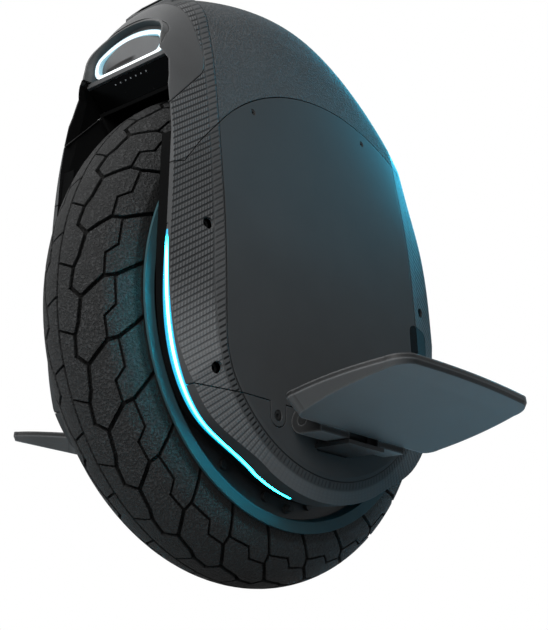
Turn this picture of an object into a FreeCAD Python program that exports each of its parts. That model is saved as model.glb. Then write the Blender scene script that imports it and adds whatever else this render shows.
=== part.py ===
import FreeCAD, Part
import math
import os

os.makedirs("parts", exist_ok=True)
V = FreeCAD.Vector
ORIGIN = V(0, 0, 0)
ALONG_X = V(1, 0, 0)
ALONG_Y = V(0, 1, 0)
ALONG_Z = V(0, 0, 1)

# Electric unicycle, millimetres. X is forward, Y the rider's left, Z up.
# Everything is drawn about the axle centre and lifted to the floor at the end.

# Tyre, the measure that the whole object is scaled by
tyre_radius = 228.5
tyre_half_width = 51.5
tyre_wall = 8.0
bead_radius = 181.0
tread_pitches = 26
tread_phase = 6.85
groove_depth = 4.0
groove_width = 3.6
sipe_width = 2.2

# Clearances
running_clear = 0.05
seat_clear = 0.3
seam = 0.9
tyre_side_clear = 5.0
guard_clear = 8.0
tyre_show = 48.5

# Body shell
wall = 3.0
frame_thick = 5.0
side_depth = 38.5
roof_rise = 75.5
seam_level = -91.0
tail_back = 29.0
heel_pull = 5.0
well_half = tyre_half_width + tyre_side_clear
frame_face = well_half + frame_thick
body_half = well_half + side_depth
guard_radius = tyre_radius + guard_clear
body_top = guard_radius + roof_rise
body_front = tyre_radius - tyre_show
body_low = body_front - 17.0
band_length = 49.0
crease_front = body_front - band_length
crease_rear = band_length - 2.0 - body_front
shoulder = 0.385 * body_top

# Pedals
pedal_half = 99.0
pedal_inner = 122.0
pedal_outer = 242.0
pedal_tilt = 8.8
pedal_edge = 7.0
pedal_root = 20.0
hinge_y = 110.0
hinge_z = -105.0
knuckle_radius = 9.0
knuckle_half = 19.0
lug_radius = 11.5
lug_half = 56.0
pin_radius = 4.0
stop_low = hinge_z - 16.0
stop_thick = 3.6

# Hub motor
axle_radius = 10.0
bearing_radius = 21.0
bearing_width = 12.0
bearing_near = 38.0
stator_radius = 147.0
stator_slots = 36
magnet_count = 40
motor_half = 41.0

# Carry handle
tray_rear = -48.0
tray_front = 108.0
tray_half = 33.0
tray_floor = guard_radius + 23.0
grip_half = 13.0
grip_low = tray_floor + 28.0


def ring(profile, degrees=360.0, start=0.0):
    """Turns a closed (radius, y) profile about the axle."""
    points = [V(r, y, 0) for r, y in profile]
    face = Part.Face(Part.makePolygon(points + [points[0]]))
    solid = face.revolve(ORIGIN, ALONG_Y, degrees)
    solid.rotate(ORIGIN, ALONG_Y, start)
    return solid


def rod(radius, y0, y1, x=0.0, z=0.0):
    """Round bar along Y."""
    return Part.makeCylinder(radius, y1 - y0, V(x, y0, z), ALONG_Y)


def rod_x(radius, x0, x1, y, z):
    """Round bar along X."""
    return Part.makeCylinder(radius, x1 - x0, V(x0, y, z), ALONG_X)


def block(x0, x1, y0, y1, z0, z1):
    return Part.makeBox(x1 - x0, y1 - y0, z1 - z0, V(x0, y0, z0))


def path(items, spot):
    """Closed wire: a pair is a straight run, a pair of pairs an arc by way of the first."""
    edges = []
    last = items[0]
    for item in items[1:] + [items[0]]:
        if isinstance(item[0], tuple):
            edges.append(Part.Arc(spot(*last), spot(*item[0]), spot(*item[1])).toShape())
            last = item[1]
        elif math.dist(last, item) > 1e-6:
            edges.append(Part.makeLine(spot(*last), spot(*item)))
            last = item
    return Part.Wire(edges)


def drawn(wire, grow, reach):
    """Face of a wire, grown or shrunk in its plane, drawn out by a vector."""
    if grow:
        wire = wire.makeOffset2D(grow, 2)
    return Part.Face(wire).extrude(reach)


def side_slab(items, y0, y1, grow=0.0):
    """Outline in the side view, drawn out along Y."""
    return drawn(path(items, lambda x, z: V(x, y0, z)), grow, V(0, y1 - y0, 0))


def front_slab(items, x0, x1, grow=0.0):
    """Outline in the front view, drawn out along X."""
    return drawn(path(items, lambda y, z: V(x0, y, z)), grow, V(x1 - x0, 0, 0))


def plan_slab(items, z0, z1, grow=0.0):
    """Outline in the plan view, drawn out along Z."""
    return drawn(path(items, lambda x, y: V(x, y, z0)), grow, V(0, 0, z1 - z0))


def round_box(x0, x1, y0, y1, r):
    """Items of a rectangle with rounded corners."""
    k = r * 0.2929
    return [(x0 + r, y0), (x1 - r, y0), ((x1 - k, y0 + k), (x1, y0 + r)), (x1, y1 - r),
            ((x1 - k, y1 - k), (x1 - r, y1)), (x0 + r, y1), ((x0 + k, y1 - k), (x0, y1 - r)),
            (x0, y0 + r), ((x0 + k, y0 + k), (x0 + r, y0))]


def both_sides(half):
    """Front-view outline from its left half, given from the foot up to the middle."""
    return half + [(-y, z) for y, z in reversed(half)]


def mirrored(shape):
    return shape.mirror(ORIGIN, ALONG_Y)


def fused(shapes):
    return shapes[0].multiFuse(shapes[1:]).removeSplitter()


def around(shape, count, first=0.0):
    """Copies of a shape spaced evenly about the axle."""
    copies = []
    for k in range(count):
        copy = shape.copy()
        copy.rotate(ORIGIN, ALONG_Y, first + 360.0 * k / count)
        copies.append(copy)
    return copies


def put(name, shape):
    """Lifts a piece so that the tyre stands on the floor, and writes it."""
    solids = shape.Solids
    piece = solids[0].copy() if len(solids) == 1 else Part.makeCompound([s.copy() for s in solids])
    piece.translate(V(0, 0, tyre_radius))
    piece.exportStep("parts/" + name + ".step")


def put_pair(name, shape):
    put(name + "_left", shape)
    put(name + "_right", mirrored(shape))


# Body envelope: front-view sections strung along X, creased at both bands

def roof(x):
    """Height of the crown over the axle at a station along X."""
    if x < 14.0:
        return body_top - 44.0 * ((14.0 - x) / 119.0) ** 2
    past = max(0.0, x - crease_front) / 54.0
    return body_top - 26.0 * ((x - 14.0) / 117.0) ** 2 - 35.0 * past ** 3


def section(x, inset):
    """Closed front-view section of the body at one station."""
    top = roof(x) - inset
    past = max(x - crease_front, crease_rear - x, 0.0) / band_length
    lead = min(1.0, max(0.0, (x - 20.0) / 110.0))
    wide = body_half / 95.0
    low = [(-220.0, 95.5, 20.0), (-60.0, 95.0, 20.0), (40.0, 89.0, 13.0), (shoulder, 79.0, 6.0)]
    high = [(0.4, 69.0, 5.0), (0.7, 61.0 - 2.0 * lead, 5.0), (0.87, 53.0 - 5.0 * lead, 4.0),
            (0.96, 39.0 - 7.0 * lead, 2.0)]
    half = [(wide * y - past * d - inset, z) for z, y, d in low]
    half += [(wide * y - past * d - inset, shoulder + t * (top - shoulder)) for t, y, d in high]
    left = [V(x, y, z) for y, z in half]
    right = [V(x, -y, z) for y, z in reversed(half)]
    curve = Part.BSplineCurve()
    curve.interpolate(left + [V(x, 0, top)] + right)
    base = Part.LineSegment(right[-1], left[0])
    return Part.Wire([curve.toShape(), base.toShape()])


def envelope(inset):
    """Whole body skin, or the space inside it when inset by the wall."""
    reach = body_front + 35.0
    spans = [[-reach, -170, -150, crease_rear], [crease_rear, -95, -50, -10, 30, 80, crease_front],
             [crease_front, 152, 172, reach - 18, reach]]
    return fused([Part.makeLoft([section(x, inset) for x in span], True, False) for span in spans])


def side_outline(inset, y0, y1):
    """Outline of the body in the side view as a slab between two Y planes."""
    f = body_front - inset
    low = body_low - inset

    def p(x, z):
        return V(x, y0, z)

    def toe(s):
        pull = 0.0 if s > 0 else heel_pull
        knots = [(f, 20), (f - 7 - 0.4 * pull, -45), (f - 22 - pull, -86 + 0.5 * inset)]
        knots += [(f - 45 - pull, -114 + 0.7 * inset), (f - 72 - 0.5 * pull, -129 + 0.9 * inset)]
        knots += [(low * 0.4226, -low * 0.9063)]
        curve = Part.BSplineCurve()
        curve.interpolate([p(s * x, z) for x, z in knots])
        return curve.toShape()

    def arc(a, b, c):
        return Part.Arc(a, b, c).toShape()

    foot = p(low * 0.4226, -low * 0.9063)
    heel = p(-low * 0.4226, -low * 0.9063)
    head = p(f + 2, 195)
    brow = p(f - 6, 246)
    tail = p(-f + tail_back, 190)
    edges = [toe(1), arc(foot, p(0, -low), heel), toe(-1), arc(p(-f, 20), p(-f + 20, 105), tail)]
    corners = [tail, p(-f + tail_back, 360), p(f - 50, 360), brow]
    edges += [Part.makeLine(a, b) for a, b in zip(corners, corners[1:])]
    edges += [arc(brow, p(f, 221), head), Part.makeLine(head, p(f, 20))]
    return Part.Face(Part.Wire(Part.__sortEdges__(edges))).extrude(V(0, y1 - y0, 0))


def low_bevel(inset):
    """Cone that leans the foot of each side in toward the tyre."""
    lean = 0.29
    flat = body_half + 15.0 - inset
    far = 420.0
    turn = body_low - 19.0 - 15.0 / lean
    run = (far - turn) * lean
    return ring([(0, -flat), (turn, -flat), (far, run - flat), (far, flat - run), (turn, flat), (0, flat)])


wide_y = body_half + 25.0
arch_half = frame_face + 9.5
bar_low = 201.0


def body_solid(inset):
    """The whole body as one solid, or the space inside its wall."""
    return envelope(inset).common(side_outline(inset, -wide_y, wide_y).common(low_bevel(inset)))


outer = body_solid(0.0)
inner = body_solid(wall)
arch = front_slab(both_sides([(arch_half, -260), (arch_half, 120), (arch_half - 3, 142),
                              (arch_half - 8.5, 172), (arch_half - 12.5, 190), (arch_half - 19, bar_low)]),
                  -260, 260)
shell = outer.cut(inner).cut(arch)


def skin(x, z):
    """Distance from the middle plane out to the left skin."""
    probe = Part.makeLine(V(x, 20, z), V(x, wide_y, z))
    return outer.common(probe).BoundBox.YMax


# Shell seams in the side view: head cover, side panel with its two tabs

head_items = [(230, 130), (186, 140), (150, 182), ((143, 194), (143, 208)), (149, 238), (157, 262),
              (162, 340), (230, 340)]
tab_x = 69.0
tab_half = 9.0
tab_low = seam_level - 11.0
side_items = [(230, 84), (182, 88), (169, 93), (152, 118), (128, 146), ((-2, 218), (-122, 205)), (-230, 170),
              (-230, seam_level)]
for x in (-tab_x, tab_x):
    side_items += [(x - tab_half, seam_level), (x - tab_half, tab_low),
                   ((x, tab_low - tab_half), (x + tab_half, tab_low)), (x + tab_half, seam_level)]
side_items += [(230, seam_level)]

head_cover = shell.common(side_slab(head_items, -wide_y, wide_y))
behind = shell.cut(side_slab(head_items, -wide_y, wide_y, seam))
side_panel = behind.common(side_slab(side_items, 30, wide_y))
framing = behind.cut(side_slab(side_items, -wide_y, wide_y, seam))
lower_cover = framing.common(block(-260, 260, 0, wide_y, -260, 0))
above = framing.common(block(-260, 260, -wide_y, wide_y, 0, 400))

# Top cover with the hand trough, tail cover, and the two upper shells

top_half = 37.0
tail_half = 44.0
tail_line = -128.0
top_rear = tail_line + 2 * seam
tail_cover = above.common(block(-260, tail_line, -tail_half, tail_half, 0, 400))
top_cover = above.common(block(top_rear, 260, -top_half, top_half, 0, 400))
upper_shell = above.cut(block(-260, tail_line + seam, -tail_half - seam, tail_half + seam, 0, 400))
upper_shell = upper_shell.cut(block(-260, 260, -top_half - seam, top_half + seam, 0, 400))
upper_shell = upper_shell.common(block(-260, 260, 0, wide_y, 0, 400))

tray_items = round_box(tray_rear, tray_front, -tray_half, tray_half, 12)
tray = plan_slab(tray_items, tray_floor, 400).common(outer)
trough = plan_slab(tray_items, tray_floor + 2.5, 400, -2.5)
power_x = tray_front + 19.0
nose_rear = tray_front + 3.0
nose_front = power_x + 26.0
nose_top = roof(nose_front - 13.0) + 7.5
nose_half = 30.0
nose = side_slab([(nose_rear, nose_top - 30), (nose_rear, nose_top - 3), (nose_rear + 4, nose_top),
                  (nose_front - 13, nose_top), (nose_front, nose_top - 16), (nose_front, nose_top - 30)],
                 -nose_half, nose_half)
nose_edge = [(nose_half, nose_top - 40), (nose_half, nose_top - 8), (nose_half - 7, nose_top + 1)]
nose = nose.common(front_slab(both_sides(nose_edge), 0, 260))
nose_in = nose_half - 8.0
pocket = block(nose_rear + wall, nose_front - wall, -nose_in, nose_in, nose_top - 60, nose_top - wall)
button_hole = Part.makeCylinder(7.0 + seat_clear, 60, V(power_x, 0, nose_top - 40), ALONG_Z)
top_cover = fused([top_cover, tray, nose]).cut(trough).cut(pocket).cut(button_hole).removeSplitter()

# Grip across the trough: stiff core bonded into both ends, soft sleeve over it

core = block(tray_rear + 2.5, tray_front - 2.5, -7, 7, grip_low + 4, grip_low + 10)
sleeve = plan_slab(round_box(tray_rear + 10, tray_front - 10, -grip_half, grip_half, 9), grip_low, 400)
sleeve = sleeve.common(envelope(2.0)).cut(core)

# Headlight niche, half-moon light ring and lens in the head cover

bar_front = body_front - 7.6
niche_low = bar_low + 4.5
niche_back = body_front - 17.0
ring_front = bar_front - 0.4
ring_half = 45.0
ring_foot = niche_low + 0.6
ring_rise = 30.0
ring_side = 5.0
ring_sill = 2.3


def niche(low):
    """Rounded outline of the lamp niche in the front view, from a chosen foot."""
    return [(-51.5, low), (51.5, low), (50.5, 217), ((48.5, 228), (41, 235)), ((0, 247), (-41, 235)),
            ((-48.5, 228), (-50.5, 217))]


def moon(half, foot, rise):
    """Half-moon outline with rounded ends, standing on its foot in the front view."""
    right = [(half - 8, foot), ((half - 2.3, foot + 0.09 * rise), (half, foot + 0.3 * rise)),
             ((half - 1.5, foot + 0.56 * rise), (half - 7, foot + 0.72 * rise))]
    left = [((1.5 - half, foot + 0.56 * rise), (-half, foot + 0.3 * rise)),
            ((2.3 - half, foot + 0.09 * rise), (8 - half, foot))]
    return right + [((0, foot + rise), (7 - half, foot + 0.72 * rise))] + left


head_cover = head_cover.cut(front_slab(niche(bar_low - 20), bar_front, 260))
head_cover = head_cover.cut(front_slab(niche(niche_low), niche_back - 20, 260))
bar = block(bar_front - 10, bar_front, -arch_half, arch_half, bar_low, niche_low).common(outer)
head_cover = head_cover.fuse(bar).removeSplitter()
ring_base = niche_back + 3 + running_clear
cove_wide = path(niche(niche_low + 0.3), lambda y, z: V(body_front + 8, y * 0.985, z - 0.5))
cove_tight = path(niche(niche_low + 0.3),
                  lambda y, z: V(niche_back + 3, y * 0.92, ring_foot + (z - ring_foot) * 0.92))
housing = front_slab(niche(niche_low), niche_back, 260, -seat_clear)
housing = housing.common(side_outline(1.0, -wide_y, wide_y))
housing = housing.cut(Part.makeLoft([cove_wide, cove_tight], True, True))


def window(clear):
    """Outline of the space inside the ring, less a clearance all round."""
    return moon(ring_half - ring_side - clear, ring_foot + ring_sill + clear,
                ring_rise - ring_side - ring_sill - 2 * clear)


light_ring = front_slab(moon(ring_half, ring_foot, ring_rise), ring_base, ring_front)
light_ring = light_ring.cut(front_slab(window(0.0), ring_base - 1, 260))
lens_block = front_slab(window(seat_clear), ring_base, ring_front + 6)
dome_radius = 160.0
lens = lens_block.common(Part.makeSphere(dome_radius, V(ring_front + 1 - dome_radius, 0, ring_foot + 13)))

# Black display panel under the bar, with its row of level lights

guard_end = 50.0
guard_turn = math.radians(guard_end)
guard_lip = V(math.cos(guard_turn), 0, math.sin(guard_turn)) * (guard_radius + wall)
panel_front = V(bar_front - 1.5, 0, bar_low - 2.4)
panel_rear = V(guard_lip.x, 0, guard_lip.z + seat_clear)
panel_run = (panel_rear - panel_front).normalize()
panel_up = V(panel_run.z, 0, -panel_run.x)
panel_thick = 2.8
panel_back = panel_up * panel_thick
corners = [panel_front, panel_rear, panel_rear + panel_back, panel_front + panel_back]
panel_half = arch_half - 19.5
dot_row = 4.2
dot_radius = 0.7
display = side_slab([(c.x, c.z) for c in corners], -panel_half, panel_half)
dots = []
for k in range(7):
    spot = panel_front + panel_run * dot_row + V(0, (k - 3) * 6.6, 0) - panel_up * 0.2
    dots.append(Part.makeCylinder(dot_radius, panel_thick, spot, panel_up))
    display = display.cut(Part.makeCylinder(dot_radius + running_clear, 9, spot - panel_up * 3.0, panel_up))

# Guard over the tyre

guard_low = bead_radius + 9.0
guard = ring([(guard_low, well_half), (guard_radius + wall, well_half), (guard_radius + wall, -well_half),
              (guard_low, -well_half), (guard_low, wall - well_half), (guard_radius, wall - well_half),
              (guard_radius, well_half - wall), (guard_low, well_half - wall)], 79, -guard_end - 79)

# Light strips along the lower front edges

strip_mid = arch_half + 0.5
strip_wide = 5.0
strip_thin = 0.8
strip_top = 36.0
strip_end = 24.0


def strip_solid(near, far, clear):
    """Crescent along the front edge, between two insets of the body outline."""
    side = strip_thin
    items = [(strip_mid + side, strip_top), ((strip_mid + 0.8 * strip_wide, -45), (strip_mid + side, -172)),
             (strip_mid - side, -172), ((strip_mid - strip_wide, -45), (strip_mid - side, strip_top))]
    slab = side_outline(near, 0, wide_y).cut(side_outline(far, -1, wide_y + 1))
    slab = slab.common(block(strip_end - clear, 260, 0, wide_y, -260, strip_top + clear))
    return slab.common(front_slab(items, 0, 260, clear))


light_strip = strip_solid(0.6, 6.0, 0.0)
strip_seat = strip_solid(-1.0, 6.0 + seat_clear, seat_clear)
side_panel = side_panel.cut(strip_seat)
lower_cover = lower_cover.cut(strip_seat)

# Side frames that carry the axle, the pedals and the shells

frame_zone = block(-260, 260, 0, wide_y, -260, 120)
frame = side_outline(wall + seat_clear, well_half, frame_face)
lip = side_outline(wall + seat_clear, frame_face - 1, arch_half + 2).cut(side_outline(9.0, 0, wide_y))
lip = lip.common(envelope(wall + seat_clear))
band_spots = [(147, 44), (137, -76), (-147, 44), (-137, -76)]
frame = fused([frame, lip, rod(32, well_half, frame_face + 14)]).common(frame_zone)
bosses = [rod(7, well_half + 1, skin(x, z) - 9, x, z) for x, z in band_spots]
frame = fused([frame] + bosses)
frame = frame.cut(rod(axle_radius + running_clear, 0, 120))
for k in range(6):
    a = math.radians(60 * k + 30)
    frame = frame.cut(rod(21, 0, 120, 88 * math.cos(a), 88 * math.sin(a)))
for x, z in band_spots:
    frame = frame.cut(rod(2.4 + running_clear, frame_face, 120, x, z))
frame = frame.cut(strip_seat)

# Screws: deep ones in the bands, small ones at the panel edges

band_screws = []
for x, z in band_spots:
    seat = skin(x, z) - 9
    screw = rod(4.4, seat + running_clear, seat + 4, x, z).fuse(rod(2.4, frame_face + 1, seat + 1, x, z))
    screw = screw.cut(rod(2.0, seat + 2, seat + 6, x, z))
    band_screws += [screw, mirrored(screw)]
    side_panel = side_panel.cut(rod(5.0, 40, wide_y, x, z))
panel_spots = [(86, 172, 2.7), (-77, 205, 2.7), (tab_x, tab_low, 4.4), (-tab_x, tab_low, 4.4)]
panel_screws = []
for x, z, head in panel_spots:
    face = skin(x, z)
    screw = rod(head, face - 3.2, face - 0.6, x, z).cut(rod(head * 0.45, face - 1.8, face, x, z))
    panel_screws += [screw, mirrored(screw)]
    side_panel = side_panel.cut(rod(head + seat_clear, 40, wide_y, x, z))

# Pedal hangers, hinge pins and pedals

hanger = block(-knuckle_half, knuckle_half, frame_face, hinge_y, stop_low, hinge_z + knuckle_radius)
stop_half = knuckle_half + 5.0
ledge = block(-stop_half, stop_half, body_half + 2, hinge_y + 23, stop_low, stop_low + stop_thick)
hanger = fused([hanger, rod_x(knuckle_radius, -knuckle_half, knuckle_half, hinge_y, hinge_z), ledge])
hanger = hanger.cut(rod_x(pin_radius + 0.02, -80, 80, hinge_y, hinge_z))
port = block(-knuckle_half - 1, knuckle_half + 1, 40, wide_y, stop_low - 1, hinge_z + knuckle_radius + 1)
lower_cover = lower_cover.cut(port)
side_panel = side_panel.cut(port)
pin = rod_x(pin_radius, -lug_half - 0.6, lug_half + 0.6, hinge_y, hinge_z)

plan = [(-84, pedal_inner), (84, pedal_inner), ((94, pedal_inner + 4), (97, pedal_inner + 14)),
        ((pedal_half, 183), (93, pedal_outer - 22)), ((88, pedal_outer - 9), (74, pedal_outer - 3)),
        ((0, pedal_outer), (-74, pedal_outer - 3)), ((-88, pedal_outer - 9), (-93, pedal_outer - 22)),
        ((-pedal_half, 183), (-97, pedal_inner + 14)), ((-94, pedal_inner + 4), (-84, pedal_inner))]
upper_wire = path(plan, lambda x, y: V(x, y, -4.0))
lower_wire = path([tuple((u * 0.91, 183 + (v - 183) * 0.87) for u, v in i) if isinstance(i[0], tuple)
                   else (i[0] * 0.91, 183 + (i[1] - 183) * 0.87) for i in plan], lambda x, y: V(x, y, -22.0))
pedal = plan_slab(plan, -4.0, 0.0).fuse(Part.makeLoft([upper_wire, lower_wire], True, True))
wedge = front_slab([(pedal_inner - 9, 1), (pedal_outer + 9, 1), (pedal_outer + 9, -pedal_edge),
                    (pedal_outer - 22, -pedal_edge - 2), (pedal_inner - 9, -pedal_root)], -200, 200)
pedal = pedal.common(wedge)
pad = plan_slab(plan, running_clear, 1.4, -9)
for piece in (pedal, pad):
    piece.translate(V(0, 0, hinge_z + pedal_root / 2.0 + 1.0))
    piece.rotate(V(0, pedal_inner, hinge_z + pedal_root / 2.0 + 1.0), ALONG_X, pedal_tilt)
lug = rod_x(lug_radius, knuckle_half + 0.4, lug_half, hinge_y, hinge_z)
web = block(knuckle_half + 0.4, lug_half, hinge_y, pedal_inner + 8, hinge_z - lug_radius, hinge_z + 8)
pedal = fused([pedal, lug, web, lug.mirror(ORIGIN, ALONG_X), web.mirror(ORIGIN, ALONG_X)])
pedal = pedal.cut(rod_x(pin_radius + running_clear, -80, 80, hinge_y, hinge_z))

# Charging port on the left: rubber flap in the skin, round socket behind it

port_x = -140.0
port_z = 8.0
flap_items = round_box(port_x - 18, port_x + 18, port_z - 17, port_z + 17, 7)
flap_slab = side_slab(flap_items, arch_half + 1, wide_y)
flap = shell.common(flap_slab)
side_panel_left = side_panel.cut(side_slab(flap_items, 40, wide_y, 0.5))
socket = rod(11, frame_face + running_clear, frame_face + 15.5, port_x, port_z)
socket = socket.cut(rod(8, frame_face + 1.5, frame_face + 16, port_x, port_z))

# Tail light set in the tail cover

tail_face = body_front - tail_back
lamp_items = round_box(-32, 32, 199, 217, 8)
lamp = front_slab(lamp_items, -tail_face - 4, -tail_face + 5)
tail_cover = tail_cover.cut(front_slab(lamp_items, -tail_face - 20, -tail_face + 20, seat_clear))

# Batteries beside the wheel, control board on its heat sink over the guard

battery = side_slab(round_box(-98, 98, 38, 114, 9), frame_face + seat_clear, frame_face + 13)
sink_low = guard_radius + wall
heat_sink = block(-34, 34, -36, 36, sink_low + running_clear, sink_low + 7)
for k in range(7):
    heat_sink = heat_sink.cut(block(-40, 40, -32 + 10 * k, -28 + 10 * k, sink_low - 2, sink_low + 4))
board_low = sink_low + 7
board = block(-42, 72, -40, 40, board_low + running_clear, board_low + 1.6)
caps = [Part.makeCylinder(6.5, 9.5, V(-28 + 18 * (k % 3), -22 + 44 * (k // 3), board_low + 1.7), ALONG_Z)
        for k in range(6)]

# Power button in the top cover

button_top = nose_top + 0.8
button = Part.makeCylinder(7.0, 12.0, V(power_x, 0, button_top - 12.0), ALONG_Z)
button = button.makeFillet(1.0, [button.Edges[0]])

# Wheel: rim, motor covers, rotor ring, magnets, bearings and fixings

rim_half = [(168, 26), (bead_radius - 0.1, 36), (bead_radius - 0.1, tyre_half_width + 0.2),
            (bead_radius + 3.5, tyre_half_width + 0.4), (bead_radius + 3.5, tyre_half_width + 2.7),
            (bead_radius - 6.5, tyre_half_width + 2.7), (bead_radius - 9, motor_half + 5),
            (bead_radius - 9, motor_half), (157, motor_half)]
rim = ring(rim_half + [(r, -y) for r, y in reversed(rim_half)])
cover_rim = bead_radius - 9 - seat_clear
cover = ring([(cover_rim, motor_half + running_clear), (cover_rim, 45), (150, 45), (130, 49.5), (45, 52),
              (30, 53), (bearing_radius, 53), (bearing_radius, 37), (28, 37), (40, 47), (125, 45.5),
              (148, 41.3)])
cover_bolts = []
for bolt in around(rod(4, 45 + running_clear, 48.5, 160, 0), 18):
    cover_bolts += [bolt, mirrored(bolt)]
rotor = ring([(151.5, -27), (157 - running_clear, -27), (157 - running_clear, 27), (151.5, 27)])
magnets = around(ring([(stator_radius + 0.6, -25), (151.45, -25), (151.45, 25), (stator_radius + 0.6, 25)],
                      360.0 / magnet_count - 1.2), magnet_count)
race_far = bearing_near + bearing_width
outer_race = ring([(18, bearing_near), (bearing_radius - running_clear, bearing_near),
                   (bearing_radius - running_clear, race_far), (18, race_far)])
inner_race = ring([(axle_radius + running_clear, bearing_near), (13, bearing_near), (13, race_far),
                   (axle_radius + running_clear, race_far)])
ball = Part.makeSphere(2.42, V(15.5, bearing_near + bearing_width / 2.0, 0))
balls = around(ball, 9) + around(mirrored(ball), 9)
valve = rod(3.2, 45 + running_clear, 52.5, 0, -164).fuse(rod(4.2, 45 + running_clear, 47, 0, -164))

# Axle, stator and coils

axle_end = frame_face + 25.0
axle = fused([rod(axle_radius, -axle_end, axle_end), rod(16, -26, 26)])
nut_face = frame_face + 14 + running_clear
nut_angles = [math.radians(60 * k) for k in range(6)]
nut_points = [(15.6 * math.cos(a), 15.6 * math.sin(a)) for a in nut_angles]
nut = side_slab(nut_points, nut_face, nut_face + 9).cut(rod(axle_radius + running_clear, 0, 120))
core_ring = ring([(105, -22), (stator_radius, -22), (stator_radius, 22), (105, 22)])
spider = ring([(16 + running_clear, -9), (106, -9), (106, 9), (16 + running_clear, 9)])
slot = block(114, 141, -30, 30, -6, 6).fuse(block(140, 150, -30, 30, -2, 2))
stator = core_ring.fuse(spider).cut(Part.makeCompound(around(slot, stator_slots)))
coil = block(115, 140, -29, 29, -10, 10).cut(block(110, 145, -22.3, 22.3, -6.7, 6.7))
half_slot = 180.0 / stator_slots
coil.rotate(ORIGIN, ALONG_Y, half_slot)
coils = around(coil, stator_slots)

# Tyre: one pitch of tread is cut into a sector and the sector repeated

tube_centre = tyre_radius - tyre_half_width
inner_arc = tyre_half_width - tyre_wall
pitch = 360.0 / tread_pitches


def carcass(degrees, start):
    lift = bead_radius - tube_centre
    out_y = math.sqrt(tyre_half_width ** 2 - lift ** 2)
    in_y = math.sqrt(inner_arc ** 2 - lift ** 2)
    a, b = V(bead_radius, out_y, 0), V(bead_radius, -out_y, 0)
    c, d = V(bead_radius, -in_y, 0), V(bead_radius, in_y, 0)
    edges = [Part.Arc(a, V(tyre_radius, 0, 0), b).toShape(), Part.makeLine(b, c),
             Part.Arc(c, V(tube_centre + inner_arc, 0, 0), d).toShape(), Part.makeLine(d, a)]
    solid = Part.Face(Part.Wire(edges)).revolve(ORIGIN, ALONG_Y, degrees)
    solid.rotate(ORIGIN, ALONG_Y, start)
    return solid


def on_tread(turn, lean):
    """Point and outward direction on the tread: turn about the axle, lean across the crown."""
    t = math.radians(turn)
    n = math.radians(lean)
    out = V(math.cos(n) * math.cos(t), math.sin(n), math.cos(n) * math.sin(t))
    mid = V(tube_centre * math.cos(t), 0, tube_centre * math.sin(t))
    return mid + out * tyre_half_width, out


def groove(a, b, width, depth):
    """Straight cutter between two tread points, standing along the surface normal."""
    pa, na = on_tread(*a)
    pb, nb = on_tread(*b)
    along = (pb - pa).normalize()
    out = (na + nb).normalize()
    across = out.cross(along).normalize()
    up = along.cross(across)
    start = pa - along * (width * 0.4)
    length = (pb - pa).Length + width * 0.8
    corners = [start + across * (width / 2.0), start - across * (width / 2.0)]
    corners += [corners[1] + along * length, corners[0] + along * length]
    base = [c - up * depth for c in corners]
    return Part.Face(Part.makePolygon(base + [base[0]])).extrude(up * (depth + 9.0))


zigzag = [(0, 26), (-5.1, 22.5), (-7.5, 18), (-11.7, 16), (-pitch, 26)]
lateral = [(0, 26), (4.3, 46), (4.7, 57), (9.3, 84)]
kink = [(4.6, 56), (-2, 56.8), (-4.4, 46.2), (-9.4, 46.5)]
cross = [(-6.1, 2), (-7.5, 18)]
middle = [(-6.1, 2), (-6.1 - pitch, 2)]
runs = [(zigzag, groove_width, groove_depth), (lateral, groove_width, groove_depth),
        (kink, sipe_width, groove_depth - 1.0), (cross, sipe_width, groove_depth - 1.0)]
cutters = []
for side in (1, -1):
    for step in range(-2, 3):
        offset = step * pitch + (0 if side > 0 else pitch / 2.0)
        for run, width, depth in runs:
            spots = [(turn + offset, side * lean) for turn, lean in run]
            cutters += [groove(a, b, width, depth) for a, b in zip(spots, spots[1:])]
for step in range(-2, 3):
    (a, _), (b, _) = middle
    shift = step * pitch
    cutters.append(groove((a + shift, 0), (b + shift, 0), sipe_width, groove_depth - 1.5))
sector = carcass(pitch, -pitch / 2.0)
near = [c for c in cutters if c.distToShape(sector)[0] < 0.1]
sector = sector.cut(near)


def on_cut(face):
    """True for a face that lies in one of the two end planes of the sector."""
    for side in (-0.5, 0.5):
        a = math.radians(side * pitch)
        across = V(math.sin(a), 0, math.cos(a))
        spots = [v.Point for v in face.Vertexes] + [face.CenterOfMass]
        if max(abs(s.dot(across)) for s in spots) < 0.01:
            return True
    return False


tread_faces = [f for f in sector.Faces if not on_cut(f)]
all_faces = []
for k in range(tread_pitches):
    for f in tread_faces:
        copy = f.copy()
        copy.rotate(ORIGIN, ALONG_Y, k * pitch)
        all_faces.append(copy)
joined = Part.makeShell(all_faces)
joined.sewShape()
tyre = Part.makeSolid(joined)
tyre.rotate(ORIGIN, ALONG_Y, tread_phase)

put("tyre", tyre)
put("rim", rim)
put_pair("motor_cover", cover)
put("motor_cover_bolts", Part.makeCompound(cover_bolts))
put("rotor_ring", rotor)
put("rotor_magnets", Part.makeCompound(magnets))
put("bearing_outer_races", Part.makeCompound([outer_race, mirrored(outer_race)]))
put("bearing_inner_races", Part.makeCompound([inner_race, mirrored(inner_race)]))
put("bearing_balls", Part.makeCompound(balls))
put("valve_stem", valve)
put("axle", axle)
put("axle_nuts", Part.makeCompound([nut, mirrored(nut)]))
put("stator_core", stator)
put("stator_coils", Part.makeCompound(coils))
put_pair("frame", frame)
put("wheel_guard", guard)
put("display_panel", display)
put("display_lights", Part.makeCompound(dots))
put("head_cover", head_cover)
put("headlight_housing", housing)
put("headlight_ring", light_ring)
put("headlight_lens", lens)
put("top_cover", top_cover)
put("handle_core", core)
put("handle_grip", sleeve)
put("power_button", button)
put("tail_cover", tail_cover)
put("tail_light_lens", lamp)
put_pair("upper_shell", upper_shell)
put("side_panel_left", side_panel_left)
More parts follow.
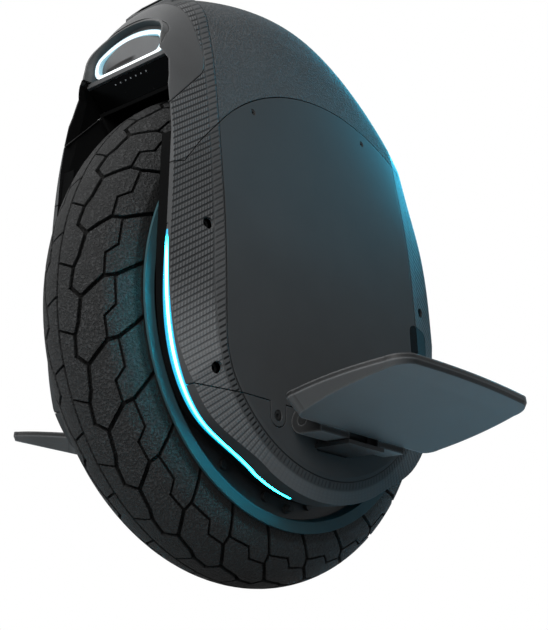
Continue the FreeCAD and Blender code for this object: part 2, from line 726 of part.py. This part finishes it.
put("side_panel_right", mirrored(side_panel))
put_pair("lower_cover", lower_cover)
put_pair("light_strip", light_strip)
put("charge_flap", flap)
put("charge_socket", socket)
put("band_screws", Part.makeCompound(band_screws))
put("panel_screws", Part.makeCompound(panel_screws))
put_pair("pedal_hanger", hanger)
put_pair("hinge_pin", pin)
put_pair("pedal", pedal)
put_pair("pedal_pad", pad)
put_pair("battery", battery)
put("heat_sink", heat_sink)
put("control_board", board)
put("board_capacitors", Part.makeCompound(caps))
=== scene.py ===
import math

import bmesh
import bpy
from mathutils import Matrix, Vector


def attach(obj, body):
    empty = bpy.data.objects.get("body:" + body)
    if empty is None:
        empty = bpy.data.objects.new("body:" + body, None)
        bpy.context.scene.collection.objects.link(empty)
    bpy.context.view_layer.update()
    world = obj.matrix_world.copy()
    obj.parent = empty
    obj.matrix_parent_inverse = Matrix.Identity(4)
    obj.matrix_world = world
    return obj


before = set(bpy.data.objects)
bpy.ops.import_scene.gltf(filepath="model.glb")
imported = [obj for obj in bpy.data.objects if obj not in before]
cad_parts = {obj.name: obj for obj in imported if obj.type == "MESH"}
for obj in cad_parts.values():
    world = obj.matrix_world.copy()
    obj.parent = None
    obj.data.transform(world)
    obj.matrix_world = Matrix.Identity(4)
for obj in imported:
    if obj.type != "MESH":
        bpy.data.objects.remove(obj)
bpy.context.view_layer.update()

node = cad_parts


# Tyre: one wide road tyre of black rubber, vulcanised in a mould that cuts the blocks.
# It sits on the rim's two bead seats. Block tops are scuffed and grainy, and fine mould rings run
# round the sidewalls just above the beads. The grooves and the sidewall band next to the rim
# are painted near black as shade.
axle_height = 0.2285
crown_ring = 0.177
crown_radius = 0.0515
groove_floor, block_face = crown_radius - 0.0030, crown_radius - 0.0004
bead_edge, block_edge = 0.1900, 0.1940
wall_start, wall_full = 0.0485, 0.0500


class Signal:
    """A socket of one material. Arithmetic on it adds Math nodes to the same tree."""

    def __init__(self, tree, socket):
        self.tree = tree
        self.socket = socket

    def node(self, kind, settings=None, inputs=None, output=0):
        """Adds a node: its settings first, then a value or a link for each named socket."""
        made = self.tree.nodes.new("ShaderNode" + kind)
        for name, value in (settings or {}).items():
            setattr(made, name, value)
        for name, value in (inputs or {}).items():
            if isinstance(value, Signal):
                self.tree.links.new(value.socket, made.inputs[name])
            else:
                made.inputs[name].default_value = value
        return Signal(self.tree, made.outputs[output]) if made.outputs else None

    def math(self, operation, *others):
        values = dict(enumerate((self,) + others))
        return self.node("Math", {"operation": operation}, values)

    def __add__(self, other):
        return self.math("ADD", other)

    def __sub__(self, other):
        return self.math("SUBTRACT", other)

    def __mul__(self, other):
        return self.math("MULTIPLY", other)

    def __truediv__(self, other):
        return self.math("DIVIDE", other)

    def __rsub__(self, other):
        return self.node("Math", {"operation": "SUBTRACT"}, {0: other, 1: self})

    __radd__ = __add__
    __rmul__ = __mul__

    def rise(self, low, high):
        """Smooth step from 0 at low to 1 at high."""
        span = {"Value": self, "From Min": low, "From Max": high}
        return self.node("MapRange", {"interpolation_type": "SMOOTHSTEP"}, span)

    def wave(self, pitch, sharp):
        """Ridges one pitch apart: 1 on top, 0 between, steeper as sharp grows."""
        swing = (self * (2 * math.pi / pitch)).math("COSINE")
        return (swing * (0.5 * sharp) + 0.5).math("MINIMUM", 1.0).math("MAXIMUM", 0.0)

    def noise(self, scale, detail=3.0, rough=0.5):
        """Cloudy values about 0.5 at so many features to the metre."""
        cloud = {"Vector": self, "Scale": scale, "Detail": detail, "Roughness": rough}
        return self.node("TexNoise", None, cloud)

    def streaks(self, per_metre, detail=3.0):
        """Fine lines across this length, as a cutter or a drawing die leaves them."""
        lines = {"W": self * per_metre, "Scale": 1.0, "Detail": detail}
        return self.node("TexNoise", {"noise_dimensions": "1D"}, lines)

    def cells(self, scale):
        """Distance to the nearest pebble, for grained and gritty faces."""
        return self.node("TexVoronoi", None, {"Vector": self, "Scale": scale})

    def axes(self):
        """The x, y and z of this vector."""
        split = self.node("SeparateXYZ", None, {"Vector": self}).socket.node
        return [Signal(self.tree, out) for out in split.outputs]

    def tint(self, low, high):
        """Colour that goes from low to high as this value goes from 0 to 1."""
        ends = {0: self, 6: low, 7: high}
        return self.node("Mix", {"data_type": "RGBA"}, ends, 2)


def grey(level, cool=0.03):
    """A near-neutral colour, slightly cooler in blue."""
    return (level * (1 - cool), level, level * (1 + cool), 1.0)


def start(name):
    """New material: returns it with its Object coordinates and their x, y, z."""
    made = bpy.data.materials.new(name)
    made.use_nodes = True
    made.node_tree.nodes.clear()
    place = Signal(made.node_tree, None).node("TexCoord", output="Object")
    return made, place, place.axes()


def axle_distance(along, z):
    """Distance from the wheel's axle, in the plane of the wheel."""
    up = z - axle_height
    return (along * along + up * up).math("SQRT")


def surface(place, colour, roughness, height=None, depth=0.0002, edge=0.0006, **plain):
    """Principled surface with softened edges; height is a bump pattern of that depth."""
    inputs = {}
    for name, value in plain.items():
        inputs[name.replace("_", " ").title().replace("Ior", "IOR")] = value
    soft = place.node("Bevel", {"samples": 4}, {"Radius": edge})
    if height is not None:
        soft = place.node("Bump", None, {"Height": height, "Distance": depth, "Normal": soft})
    inputs.update({"Base Color": colour, "Roughness": roughness, "Normal": soft})
    shader = place.node("BsdfPrincipled", None, inputs)
    place.node("OutputMaterial", None, {"Surface": shader})


def dress(material, *names):
    """Gives CAD nodes a finished material in place of their plain one."""
    for name in names:
        node[name].data.materials.clear()
        node[name].data.materials.append(material)


tread_rubber, place, (x, y, z) = start("tread_rubber")
from_axle = axle_distance(x, z)
from_crown = ((from_axle - crown_ring) * (from_axle - crown_ring) + y * y).math("SQRT")
# Painted shade: near black on the groove floors and in the sidewall band next to the rim.
out_of_groove_shade = from_crown.rise(groove_floor, block_face)
out_of_rim_shade = from_axle.rise(bead_edge, block_edge)
scuff = place.noise(60.0)
pebble = place.noise(480.0, 4.0, 0.6).rise(0.36, 0.64)
grain = place.noise(1100.0, 3.0, 0.6)
side_wall = y.math("ABSOLUTE").rise(wall_start, wall_full)
rings = from_axle.wave(0.0021, 1.6) * side_wall
shade = out_of_groove_shade * out_of_rim_shade * (0.20 + 0.25 * scuff + 0.50 * pebble)
surface(place, shade.tint(grey(0.0015), grey(0.034)), 0.58 + 0.20 * grain + 0.10 * pebble,
        pebble + grain * 0.4 + rings * 0.1, 0.0016, 0.0005, specular_ior_level=0.15)
dress(tread_rubber, "tyre")


# Rim: one cast alloy rim, turned on its faces and coated satin blue-grey.
# The tyre's beads sit on it, and the motor covers are let into its two sides.
rim_coat, place, (x, y, z) = start("rim_coat")
from_axle = axle_distance(x, z)
turned = from_axle.streaks(1400.0, 2.0)
cloud = place.noise(45.0)
dark_blue, pale_blue = (0.015, 0.034, 0.040, 1), (0.026, 0.060, 0.070, 1)
surface(place, (0.4 * turned + 0.6 * cloud).tint(dark_blue, pale_blue), 0.40 + 0.18 * turned,
        turned, 0.00008, 0.0008, specular_ior_level=0.06)
dress(rim_coat, "rim")


# Motor covers: two turned aluminium discs, dark anodised, that close the hub motor.
# Eighteen bolts hold each to the rim. Cutter marks run round the axle.
cover_metal, place, (x, y, z) = start("cover_metal")
from_axle = axle_distance(x, z)
turned = from_axle.streaks(1800.0)
cast = place.noise(500.0)
surface(place, (0.7 * turned + 0.3 * cast).tint(grey(0.012), grey(0.035)), 0.34 + 0.2 * cast,
        turned * 0.6 + cast * 0.4, 0.0001, 0.0008, metallic=0.3, specular_ior_level=0.1)
dress(cover_metal, "motor_cover_left", "motor_cover_right")


# Turned steel: axle, nuts, bearing rings and balls, and the rotor ring.
# Ground or machined bare, with a light oil film that dulls it in patches.
bare_steel, place, (x, y, z) = start("bare_steel")
cut_marks = y.streaks(2600.0)
oil = place.noise(120.0)
surface(place, (0.5 * cut_marks + 0.5 * oil).tint(grey(0.30), grey(0.48)), 0.22 + 0.22 * oil,
        cut_marks, 0.00004, 0.0005, metallic=1.0)
dress(bare_steel, "axle", "axle_nuts", "bearing_outer_races", "bearing_inner_races", "bearing_balls",
      "rotor_ring")


# Motor windings: nickel-plated magnets in the rotor, a stack of punched iron sheets on
# the axle, and a varnished copper coil wound on each of its teeth.
nickel, place, (x, y, z) = start("magnet_nickel")
pits = place.noise(700.0)
surface(place, pits.tint(grey(0.40), grey(0.55)), 0.18 + 0.2 * pits, pits, 0.00004, 0.0004,
        metallic=1.0)
dress(nickel, "rotor_magnets")
sheet_iron, place, (x, y, z) = start("stacked_iron")
sheets = y.wave(0.0007, 1.5)
rust = place.noise(150.0)
surface(place, (0.6 * sheets + 0.4 * rust).tint((0.035, 0.034, 0.034, 1), (0.16, 0.155, 0.15, 1)),
        0.42 + 0.25 * rust, sheets, 0.0001, 0.0004, metallic=0.8)
dress(sheet_iron, "stator_core")
coil_wire, place, (x, y, z) = start("coil_wire")
from_axle = axle_distance(x, z)
turns = from_axle.wave(0.0012, 1.3)
varnish = place.noise(220.0)
surface(place, (0.7 * turns + 0.3 * varnish).tint((0.16, 0.045, 0.012, 1), (0.62, 0.27, 0.09, 1)),
        0.24 + 0.2 * varnish, turns, 0.0003, 0.0004, metallic=0.85)
dress(coil_wire, "stator_coils")


# Side frames: cast magnesium with a dark powder coat, the backbone of the machine.
# They carry the axle and the shells. A fine cast grain shows through the coat.
cast_coat, place, (x, y, z) = start("cast_coat")
cast = place.noise(420.0, 4.0, 0.6)
cloud = place.noise(30.0)
surface(place, (0.5 * cast + 0.5 * cloud).tint(grey(0.0015), grey(0.0045)), 0.62 + 0.2 * cast,
        cast, 0.0002, 0.001, specular_ior_level=0.01)
dress(cast_coat, "frame_left", "frame_right")


# Wheel guard and charging flap: deep black plastic and rubber, spark-textured so that they
# never shine. The guard arches over the tyre and the flap closes the socket's well.
guard_black, place, (x, y, z) = start("guard_black")
spark = place.noise(1100.0, 3.0, 0.6)
dust = place.noise(25.0)
surface(place, (0.4 * spark + 0.6 * dust).tint(grey(0.0006), grey(0.0020)), 0.66 + 0.25 * spark,
        spark, 0.00015, 0.0006, specular_ior_level=0.04)
dress(guard_black, "wheel_guard", "charge_flap")


# Gloss black parts: display panel, power key and charging socket.
# Polished mould faces with a few dust specks and hairline rubs.
piano_black, place, (x, y, z) = start("piano_black")
specks = place.cells(180.0).rise(0.10, 0.04) * place.noise(35.0).rise(0.52, 0.64)
rubs = place.noise(14.0, 5.0)
surface(place, specks.tint(grey(0.0006), grey(0.012)), 0.14 + 0.10 * rubs + 0.3 * specks,
        place.noise(90.0), 0.00003, 0.0003, specular_ior_level=0.02)
dress(piano_black, "display_panel", "power_button", "charge_socket")


# Level lights: seven small white light guides of clear plastic, in a row in the display
# panel. Each is pushed into its own hole, and here they glow only faintly.
level_light, place, (x, y, z) = start("level_light")
core = place.noise(600.0)
surface(place, grey(0.08), 0.35 + 0.2 * core, core, 0.00003, 0.0002,
        emission_color=core.tint((0.55, 0.6, 0.65, 1), (0.85, 0.92, 1.0, 1)), emission_strength=0.05)
dress(level_light, "display_lights")


# Body shells: moulded black plastic, clipped together over the side frames.
# The crown has a pebbled leather grain and the flat sides are satin. Outside the crease
# the edge bands carry a woven pattern of small bars between slanted grooves.
crease = 0.131
low_crease = 0.144
row_pitch = 0.00565
bar_pitch = 0.0026
row_slope = 0.75
fan_angle = -math.atan(row_slope)


def shell_finish(name, inside, fine):
    """Shell plastic: inside is grain or satin within the crease; fine sets the level."""
    made, place, (x, y, z) = start(name)
    facing = place.node("TexCoord", output="Normal").axes()
    outward = facing[1] * y.math("SIGN")
    sideways = outward.rise(0.50, 0.64)
    # Painted shade: faces turned in towards the wheel are made near black.
    painted_inner_shade = outward.rise(-0.15, -0.30)
    along = x.math("ABSOLUTE")
    up = z - axle_height
    from_axle = axle_distance(along, z)
    below = up.rise(0.02, -0.03)
    ring_out = (from_axle - low_crease) + (below - 1.0) * 0.2
    out = (along - crease).math("SMOOTH_MAX", ring_out, 0.016)
    turn = up.math("ARCTAN2", along)
    fan = (turn - fan_angle) * 0.1875 - row_slope * crease
    straight = up + (along - crease) * row_slope
    lean = turn.rise(fan_angle - 0.01, fan_angle + 0.01)
    row = fan + (straight - fan) * lean
    lines = 1.0 - row.wave(row_pitch, 1.0).rise(0.50, 0.96)
    bars = out.wave(bar_pitch, 1.5)
    foot = turn.rise(-0.85, -1.15)
    low = turn.rise(0.05, -0.45)
    slot_end = 0.0092 - 0.0036 * low
    edge_band = out.rise(slot_end + 0.0008, slot_end + 0.0033) * sideways
    woven = edge_band * (1.0 - 0.85 * foot)
    dash = out.rise(0.0008, 0.0016) * (1.0 - out.rise(slot_end, slot_end + 0.0013))
    slots = dash * sideways * (1.0 - 0.6 * foot)
    ribbed = woven + slots
    # The crease groove: a real groove in height, and painted shade in colour.
    crease_groove_and_shade = out.rise(-0.0008, -0.0001) * (1.0 - out.rise(0.0001, 0.0008))
    dusty = place.noise(22.0)
    micro = place.noise(1500.0, 3.0, 0.6)
    level = 0.32 + 0.12 * dusty + 0.05 * micro
    height = micro * 0.06
    rough = 0.40 + 0.10 * micro + 0.08 * dusty
    if inside == "grain":
        pebble = place.cells(520.0) * 0.7 + place.noise(800.0, 3.0, 0.6) * 0.6
        nose = x.rise(0.106, 0.109) * (1.0 - y.math("ABSOLUTE").rise(0.0375, 0.0385))
        crown = (1.0 - out.rise(-0.0010, 0.0)) * (1.0 - nose)
        level = level + crown * (pebble - 0.55) * 0.38
        height = height + crown * pebble * 1.7
        rough = rough + crown * 0.14
    level = level + woven * (lines * (0.36 * bars + 0.14) - 0.20)
    # Painted shade: the dash slots are made darker, more towards the bottom.
    level = level + slots * (lines * 0.08 - (1.0 - lines) * (0.12 + 0.22 * low))
    # Painted light: the edge bands are made lighter towards the bottom.
    level = level + edge_band * low * 0.45
    # Painted shade: darker in the crease groove, near black on faces turned in towards the wheel.
    level = level * (1.0 - 0.8 * crease_groove_and_shade) * (1.0 - 0.96 * painted_inner_shade)
    height = height + ribbed * (lines * 0.8 + bars * woven * lines * 0.35) - crease_groove_and_shade * 1.2
    surface(place, level.tint(grey(0.004), grey(fine)), rough, height, 0.0004, 0.0008,
            specular_ior_level=0.02)
    return made


crown_plastic = shell_finish("crown_plastic", "grain", 0.132)
side_plastic = shell_finish("side_plastic", "satin", 0.105)
dress(crown_plastic, "upper_shell_left", "upper_shell_right", "top_cover")
dress(side_plastic, "side_panel_left", "side_panel_right", "lower_cover_left", "lower_cover_right",
      "tail_cover")


# Head cover: the one smooth shell, moulded in satin plastic and rubbed by hands.
# It clips over the headlight, between the two upper shells.
head_satin, place, (x, y, z) = start("head_satin")
facing = place.node("TexCoord", output="Normal").axes()
# Painted shade: faces turned in towards the wheel are made near black.
painted_inner_shade = (facing[1] * y.math("SIGN")).rise(-0.15, -0.30)
micro = place.noise(1500.0, 3.0, 0.6)
rubs = place.noise(18.0, 4.0)
satin = (0.35 + 0.4 * rubs + 0.25 * micro) * (1.0 - 0.97 * painted_inner_shade)
surface(place, satin.tint(grey(0.001), grey(0.068)), 0.30 + 0.14 * rubs + 0.06 * micro,
        micro, 0.00006, 0.0012, specular_ior_level=0.12)
dress(head_satin, "head_cover")


# Headlight: a half-moon light guide, lit white all round, with a smoky domed lens in it.
# Both are clipped into a satin grey cove. A dark slot in the lens hides the emitter.
cove_satin, place, (x, y, z) = start("cove_satin")
micro = place.noise(1300.0, 3.0, 0.6)
dull = place.noise(40.0)
surface(place, (0.6 * dull + 0.4 * micro).tint(grey(0.022), grey(0.040)), 0.34 + 0.14 * micro,
        micro, 0.00005, 0.0008)
dress(cove_satin, "headlight_housing")


def flatness(place, samples, radius):
    """1 on flat faces, less towards the edges that a bevel of this radius rounds."""
    rounded = place.node("Bevel", {"samples": samples}, {"Radius": radius})
    facet = place.node("NewGeometry", output="Normal")
    return place.node("VectorMath", {"operation": "DOT_PRODUCT"}, {0: rounded, 1: facet}, "Value")


ring_glow, place, (x, y, z) = start("ring_glow")
haze = place.noise(120.0)
flat = flatness(place, 8, 0.0028)
sill = (z - axle_height).rise(0.2088, 0.2083)
glow = x.rise(0.1705, 0.1718) * flat.rise(0.94, 0.9995).math("MAXIMUM", sill)
surface(place, grey(0.25), 0.25 + 0.1 * haze, haze, 0.00003, 0.0008,
        emission_color=(glow * (0.9 + 0.2 * haze)).tint((0.10, 0.28, 0.36, 1), (0.9, 1.0, 1.0, 1)),
        emission_strength=1.3)
dress(ring_glow, "headlight_ring")
smoke_lens, place, (x, y, z) = start("smoke_lens")
up = z - axle_height
slot_high = 1.0 - (up - 0.2112).math("ABSOLUTE").rise(0.0010, 0.0030)
slot_wide = 1.0 - (y + 0.012).math("ABSOLUTE").rise(0.016, 0.024)
slot = slot_high * slot_wide
cloud = place.noise(60.0)
flutes = y.wave(0.0022, 1.0)
shadow = (up + y * 0.35).rise(0.214, 0.196)
smoke = (0.62 + 0.16 * cloud + 0.02 * flutes) * (1.0 - 0.75 * shadow) * (1.0 - 0.97 * slot)
surface(place, smoke.tint(grey(0.003), grey(0.11)), 0.25 + 0.08 * cloud, flutes, 0.000006, 0.0008,
        specular_ior_level=0.15)
dress(smoke_lens, "headlight_lens")


# Edge light strips: bent acrylic light guides let into the front edges of the frames.
# They are lit cyan, with a white core where the light is strongest.
strip_glow, place, (x, y, z) = start("strip_glow")
middle = (y.math("ABSOLUTE") - 0.0715).math("ABSOLUTE")
ends = (0.30 + 0.70 * z.rise(0.085, 0.175)) * (1.0 - z.rise(0.232, 0.256))
bright = (1.0 - middle.rise(0.0012, 0.0019)) * ends
haze = place.noise(150.0)
cyan, core_white = (0.0, 0.0023, 0.0039, 1), (0.0056, 0.40, 0.50, 1)
light = (bright * (0.9 + 0.2 * haze)).tint(cyan, core_white)
lit_length = z.rise(0.2604, 0.2594)
surface(place, grey(0.03), 0.25 + 0.1 * haze, haze, 0.00003, 0.0006,
        emission_color=lit_length.tint((0, 0, 0, 1), light), emission_strength=250.0)
dress(strip_glow, "light_strip_left", "light_strip_right")


# Tail light: red acrylic bar behind the crown, with moulded reflector prisms inside and a
# faint light of its own. It is clipped into the tail cover.
tail_red, place, (x, y, z) = start("tail_red")
prisms = y.wave(0.0032, 1.2) * z.wave(0.0032, 1.2)
cloud = place.noise(70.0)
lens_red = (0.7 * prisms + 0.3 * cloud).tint((0.05, 0.001, 0.001, 1), (0.42, 0.012, 0.010, 1))
lamp_red = prisms.tint((0.16, 0.001, 0.001, 1), (0.50, 0.010, 0.008, 1))
surface(place, lens_red, 0.14 + 0.08 * cloud, prisms, 0.0003, 0.0008, specular_ior_level=0.2,
        emission_color=lamp_red, emission_strength=0.5)
dress(tail_red, "tail_light_lens")


# Soft rubber: grip sleeve and tyre valve, moulded matt black.
# The sleeve is ribbed across for the fingers.
soft_black, place, (x, y, z) = start("soft_black")
ribs = x.wave(0.0042, 1.6) * z.rise(axle_height + 0.27, axle_height + 0.28)
matt = place.noise(800.0, 3.0, 0.6)
bloom = place.noise(40.0)
surface(place, (0.5 * bloom + 0.3 * matt + 0.2 * ribs).tint(grey(0.006), grey(0.022)),
        0.60 + 0.25 * matt, matt * 0.3 + ribs, 0.0006, 0.0012, specular_ior_level=0.15)
dress(soft_black, "handle_grip", "valve_stem")


# Seam shade strips: thin black strips set into the front seams of the shells on both sides,
# as painted shade that keeps the gaps black and lets no light through. They take the soft
# rubber's finish.
mm = 0.001
lower_seam = [(181.0, 88.5, 72.0), (169.1, 93.1, 73.0), (152.1, 118.1, 72.6), (145.6, 125.5, 72.3)]
head_seam = [(181.5, 145.2, 65.2), (165.5, 163.8, 64.0), (149.5, 182.5, 62.8)]
lower_gap = (0.00044, 0.0, 0.00055)
head_gap = (-0.00053, 0.0, -0.00046)
shade_strip_depth = 0.0031


def add_piece(name, shape, material):
    """Turns a finished bmesh into an object at the origin, in one material."""
    mesh = bpy.data.meshes.new(name)
    shape.to_mesh(mesh)
    shape.free()
    mesh.materials.append(material)
    piece = bpy.data.objects.new(name, mesh)
    bpy.context.scene.collection.objects.link(piece)
    return piece


shade_strip_mesh = bmesh.new()
for seam_line, across in ((lower_seam, lower_gap), (head_seam, head_gap)):
    for side in (1, -1):
        inner = [shade_strip_mesh.verts.new((ahead * mm, side * out * mm, axle_height + up * mm))
                 for ahead, up, out in seam_line]
        chain = [shade_strip_mesh.edges.new(pair) for pair in zip(inner, inner[1:])]
        grown = bmesh.ops.extrude_edge_only(shade_strip_mesh, edges=chain)["geom"]
        far_edge = [v for v in grown if isinstance(v, bmesh.types.BMVert)]
        bmesh.ops.translate(shade_strip_mesh, verts=far_edge, vec=across)
        strip = [f for f in grown if isinstance(f, bmesh.types.BMFace)]
        grown = bmesh.ops.extrude_face_region(shade_strip_mesh, geom=strip, use_keep_orig=True)["geom"]
        outer = [v for v in grown if isinstance(v, bmesh.types.BMVert)]
        bmesh.ops.translate(shade_strip_mesh, verts=outer, vec=(0.0, side * shade_strip_depth, 0.0))
bmesh.ops.recalc_face_normals(shade_strip_mesh, faces=shade_strip_mesh.faces[:])
dark_seam_strips = add_piece("seam_shade_strips", shade_strip_mesh, soft_black)
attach(dark_seam_strips, "chassis")


# Handle core: forged aluminium bar inside the sleeve, left as it comes from the die.
# It is bonded into both ends of the hand trough.
forged, place, (x, y, z) = start("forged_bar")
scale_marks = place.noise(260.0)
surface(place, scale_marks.tint(grey(0.16), grey(0.30)), 0.35 + 0.2 * scale_marks,
        scale_marks, 0.0001, 0.0006, metallic=0.9)
dress(forged, "handle_core")


# Screws, cover bolts and hinge pins: black oxide steel. Two deep socket screws sit in each edge
# band, small ones in the tabs and a ring of bolts in each motor cover; a pin holds each pedal.
oxide, place, (x, y, z) = start("black_oxide")
wear = place.noise(900.0)
surface(place, wear.tint(grey(0.008), grey(0.030)), 0.36 + 0.2 * wear, wear, 0.00006, 0.0004,
        metallic=0.6, specular_ior_level=0.1)
dress(oxide, "band_screws", "panel_screws", "motor_cover_bolts", "hinge_pin_left", "hinge_pin_right")


# Pedals and hangers: cast magnesium with a fine matt coat, hinged on steel pins. The pedals'
# edges carry a painted highlight, and painted light from below makes their undersides paler,
# most towards the outer tips. Each has a sheet of abrasive grip tape glued inside its rim.
pedal_coat, place, (x, y, z) = start("pedal_coat")
fine = place.noise(1000.0, 3.0, 0.6)
cloud = place.noise(16.0, 4.0)
# Painted highlight: the pedals' edges are made lighter.
painted_edge_highlight = flatness(place, 4, 0.0024).rise(0.996, 0.968) * (0.6 + 0.6 * cloud)
facing = place.node("TexCoord", output="Normal").axes()
underside = facing[2].rise(-0.25, -0.75)
tip = y.math("ABSOLUTE").rise(0.14, 0.25)
# Painted light: the undersides are made paler, more towards the outer tips.
painted_underside_light = underside * (0.34 + 0.2 * cloud + 0.2 * tip)
coat = 0.01 + 0.03 * cloud + 0.03 * fine + 0.42 * painted_edge_highlight + painted_underside_light
surface(place, coat.tint(grey(0.008), grey(0.17)), 0.36 + 0.12 * fine + 0.08 * cloud,
        fine, 0.00012, 0.0024, metallic=0.05, specular_ior_level=0.08)
dress(pedal_coat, "pedal_left", "pedal_right")
hanger_coat, place, (x, y, z) = start("hanger_coat")
fine = place.noise(1000.0, 3.0, 0.6)
cloud = place.noise(30.0, 4.0)
surface(place, (0.6 * cloud + 0.4 * fine).tint(grey(0.010), grey(0.026)), 0.36 + 0.14 * fine,
        fine, 0.00012, 0.0005, metallic=0.05, specular_ior_level=0.1)
dress(hanger_coat, "pedal_hanger_left", "pedal_hanger_right")
grit_tape, place, (x, y, z) = start("grit_tape")
grit = place.cells(900.0)
worn = place.noise(30.0, 4.0)
surface(place, (grit * 0.9 + worn * 0.5 - 0.2).tint(grey(0.006), grey(0.050)), 0.80 + 0.15 * worn,
        grit, 0.0006, 0.0004)
dress(grit_tape, "pedal_pad_left", "pedal_pad_right")


# Electrics under the crown: two film-wrapped battery packs beside the wheel, and the
# control board with its capacitors on a bare finned heat sink.
shrink_film, place, (x, y, z) = start("shrink_film")
cell_bulge = x.wave(0.0195, 1.0) * z.wave(0.0195, 1.0)
crinkle = place.noise(130.0, 5.0)
surface(place, (0.5 * cell_bulge + 0.5 * crinkle).tint((0.008, 0.035, 0.11, 1), (0.03, 0.11, 0.27, 1)),
        0.22 + 0.2 * crinkle, cell_bulge * 0.6 + crinkle * 0.5, 0.0006, 0.0014)
dress(shrink_film, "battery_left", "battery_right")
solder_mask, place, (x, y, z) = start("solder_mask")
wander = place.noise(40.0) * 0.004
tracks = (x + wander).wave(0.0030, 2.0) * (y + wander).wave(0.0046, 2.0)
surface(place, tracks.tint((0.006, 0.060, 0.022, 1), (0.025, 0.15, 0.05, 1)), 0.25 + 0.15 * tracks,
        tracks, 0.00008, 0.0003)
dress(solder_mask, "control_board")
can_sleeve, place, (x, y, z) = start("can_sleeve")
stripe = x.wave(0.018, 3.0)
scuff = place.noise(300.0)
surface(place, (0.4 * stripe + 0.6 * scuff).tint(grey(0.010), grey(0.09)), 0.30 + 0.2 * scuff,
        scuff, 0.00006, 0.0006)
dress(can_sleeve, "board_capacitors")
bare_fins, place, (x, y, z) = start("bare_fins")
drawn = y.streaks(2200.0)
surface(place, drawn.tint(grey(0.38), grey(0.56)), 0.30 + 0.2 * drawn, drawn, 0.00005, 0.0004,
        metallic=1.0)
dress(bare_fins, "heat_sink")


# Stage: a pale floor that shows only from above, and an even white surround.
# The camera of the picture stands lower than the floor and looks up through it.
floor_half = 5.0
floor_drop = -0.0002
glow_share = 0.62


def looked_at(shader):
    """1 for rays of the camera, gloss and glass, and 0 for light that only bounces."""
    seen = shader.node("LightPath", output="Is Camera Ray")
    for path in ("Is Glossy Ray", "Is Transmission Ray"):
        seen = seen.math("MAXIMUM", shader.node("LightPath", output=path))
    return seen


pale, place, (x, y, z) = start("pale_floor")
mottle = place.noise(3.0)
floor_coat = place.node("BsdfPrincipled", None, {
    "Base Color": mottle.tint(grey(0.80), grey(0.86)), "Roughness": 0.55, "Specular IOR Level": 0.2})
dull_coat = place.node("BsdfDiffuse", None, {"Color": grey(0.30)})
even_glow = place.node("Emission", None, {"Color": grey(0.82, 0.0), "Strength": 1.0})
pale_top = place.node("MixShader", None, {0: glow_share, 1: floor_coat, 2: even_glow})
top_face = place.node("MixShader", None, {0: looked_at(place), 1: dull_coat, 2: pale_top})
clear = place.node("BsdfTransparent")
under = place.node("NewGeometry", output="Backfacing")
one_way = place.node("MixShader", None, {0: under, 1: top_face, 2: clear})
place.node("OutputMaterial", None, {"Surface": one_way})
sheet = bmesh.new()
lowered = Matrix.Translation((0, 0, floor_drop))
bmesh.ops.create_grid(sheet, x_segments=1, y_segments=1, size=floor_half, matrix=lowered)
floor = add_piece("floor", sheet, pale)

world = bpy.data.worlds.new("surround")
bpy.context.scene.world = world
world.use_nodes = True
world.node_tree.nodes.clear()
sky = Signal(world.node_tree, None)
white = sky.node("Background", None, {"Color": (1, 1, 1, 1), "Strength": 1.0})
ambient = sky.node("Background", None, {"Color": (0.85, 0.95, 1.0, 1), "Strength": 0.06})
surround = sky.node("MixShader", None, {0: looked_at(sky), 1: ambient, 2: white})
sky.node("OutputWorld", None, {"Surface": surround})


# Studio light: one broad soft lamp ahead and to the left, a small one over the front, a
# cool lamp behind that gives the far edge its blue-green, and a plain one on the right.
warm_white = (1.0, 0.985, 0.97)
plain_white = (1.0, 1.0, 1.0)
blue_green = (0.02, 0.62, 0.95)
centre = (0.0, 0.0, 0.26)


def soft_lamp(name, spot, aim, width, power, colour):
    """Square area lamp at a spot, turned to face its aim."""
    lamp = bpy.data.lights.new(name, "AREA")
    lamp.shape = "RECTANGLE"
    lamp.size = width
    lamp.size_y = width
    lamp.energy = power
    lamp.color = colour
    made = bpy.data.objects.new(name, lamp)
    turned = (Vector(spot) - Vector(aim)).to_track_quat("Z", "Y").to_matrix().to_4x4()
    made.matrix_world = Matrix.Translation(spot) @ turned
    bpy.context.scene.collection.objects.link(made)


soft_lamp("key_lamp", (1.45, 0.56, 0.80), (0.12, 0.03, 0.24), 1.0, 44.0, warm_white)
soft_lamp("front_lamp", (0.9, -0.3, 1.6), (0.1, 0.0, 0.45), 0.6, 8.0, plain_white)
soft_lamp("cool_lamp", (-0.94, -0.06, 1.00), (-0.08, 0.04, 0.40), 0.5, 27.0, blue_green)
soft_lamp("right_lamp", (-1.2, -1.3, 0.9), centre, 1.2, 10.0, plain_white)


# Camera: the picture's own view, from ahead on the rider's left and from below the floor.
# It was fitted to the tyre, the pedals and the front edges of the body.
lens_pixels = 1224.6
long_side = 630
turn, rise, roll = (math.radians(angle) for angle in (42.066, -18.068, 1.582))
level = math.cos(rise)
back = Vector((math.cos(turn) * level, math.sin(turn) * level, math.sin(rise)))
flat_right = back.cross(Vector((0, 0, -1))).normalized()
flat_above = back.cross(flat_right)
right = math.cos(roll) * flat_right + math.sin(roll) * flat_above
above = math.cos(roll) * flat_above - math.sin(roll) * flat_right
eye = Vector((0.791476, 0.740042, axle_height - 0.332203))
lens = bpy.data.cameras.new("picture_camera")
lens.sensor_width = 36.0
lens.lens = lens_pixels * lens.sensor_width / long_side
lens.clip_start = 0.02
viewer = bpy.data.objects.new("picture_camera", lens)
facing = Matrix((right, above, back)).transposed().to_4x4()
viewer.matrix_world = Matrix.Translation(eye) @ facing
bpy.context.scene.collection.objects.link(viewer)
bpy.context.scene.camera = viewer
bpy.context.scene.view_settings.view_transform = "Standard"
